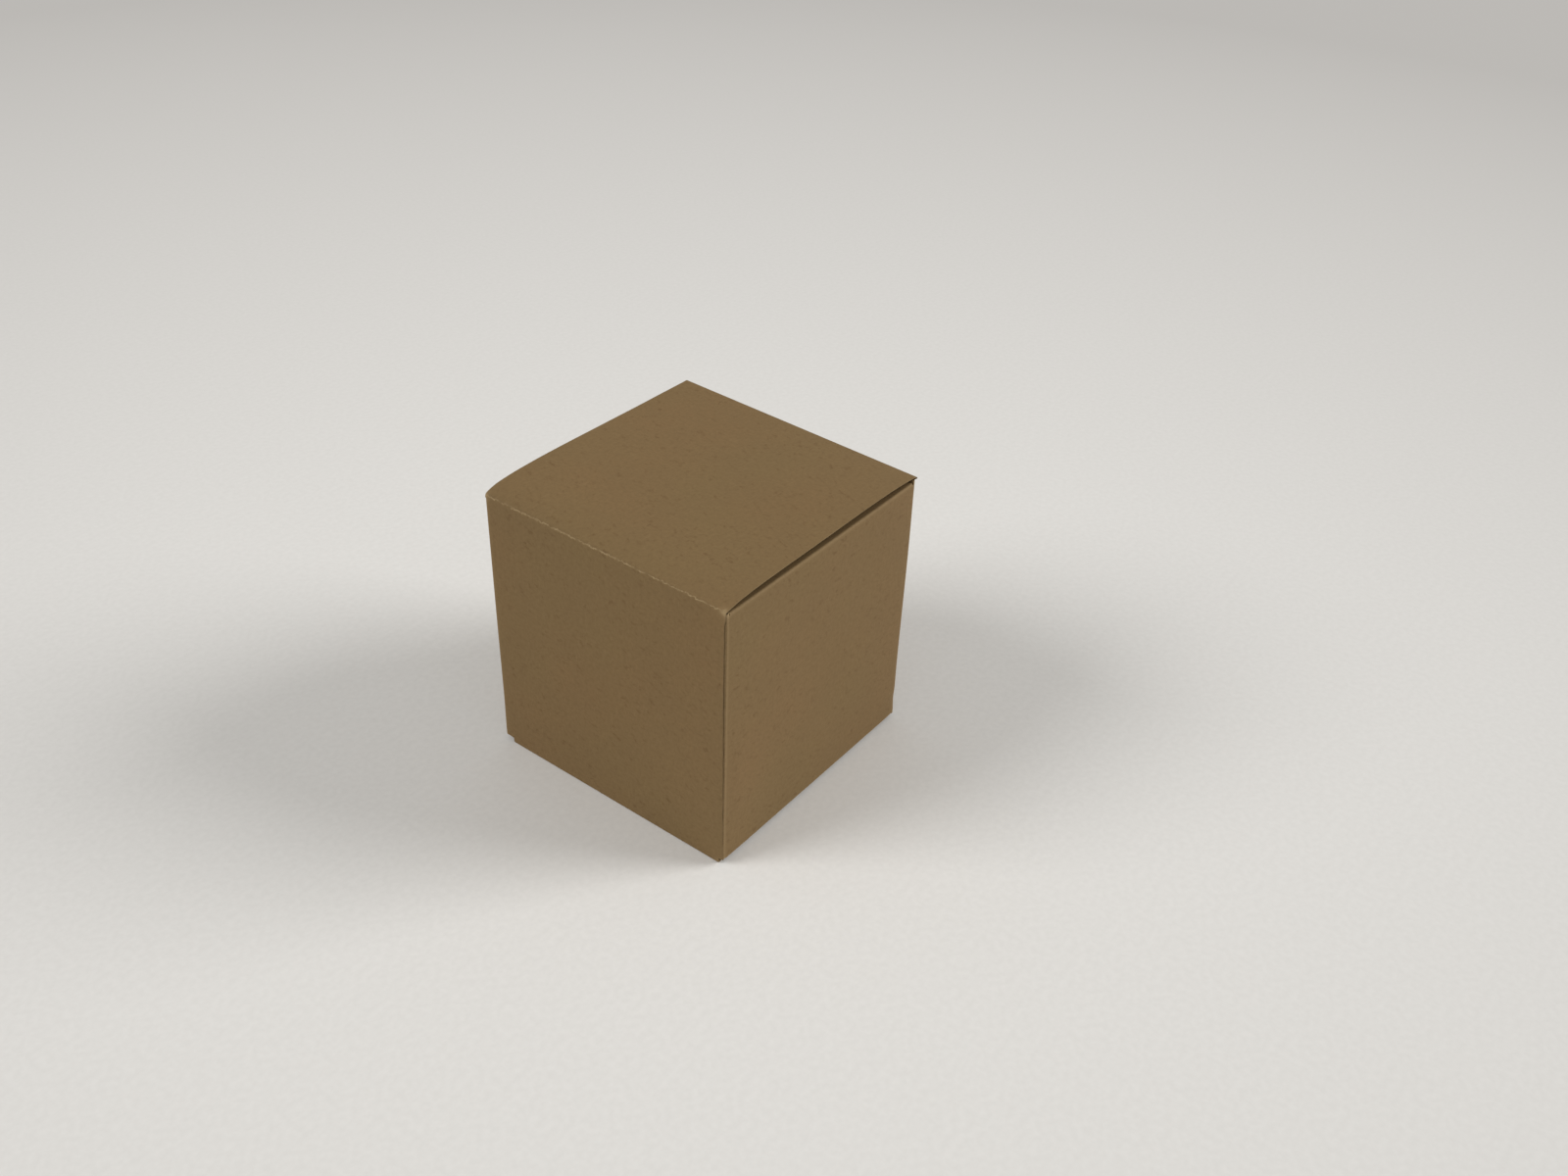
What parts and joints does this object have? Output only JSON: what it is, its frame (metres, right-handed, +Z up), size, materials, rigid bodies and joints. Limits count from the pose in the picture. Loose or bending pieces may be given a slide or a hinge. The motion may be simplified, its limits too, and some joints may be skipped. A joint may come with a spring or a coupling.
{
  "type": "kraft card tuck box",
  "caption": "Small cube-shaped tuck box folded from brown kraft card, with a hinged tuck-in lid, a hinged tuck-in bottom flap and inner dust flaps.",
  "frame": {"origin": "middle of the base, on the surface that the box stands on", "axes": "+Z up through the lid; -X out of the hinge wall, which carries the lid's and the bottom flap's creases; +X out of the tuck wall; the glued seam is at the -X, -Y upright edge"},
  "size_m": [0.0508, 0.0508, 0.0523],
  "materials": {
    "kraft_card": "uncoated brown kraft card with fine darker fibres"
  },
  "bodies": {
    "carton_body": {"carton_body": "kraft_card"},
    "lid": {"lid": "kraft_card"},
    "bottom_flap": {"bottom_flap": "kraft_card"}
  },
  "joints": [
    {"name": "lid_hinge", "type": "hinge", "parent": "carton_body", "child": "lid", "pos_m": [-0.02522, 0, 0.05142], "axis": [0, -1, 0], "range_deg": [0, 150]},
    {"name": "bottom_hinge", "type": "hinge", "parent": "carton_body", "child": "bottom_flap", "pos_m": [-0.02522, 0, 0.00018], "axis": [0, 1, 0], "range_deg": [0, 150]}
  ]
}
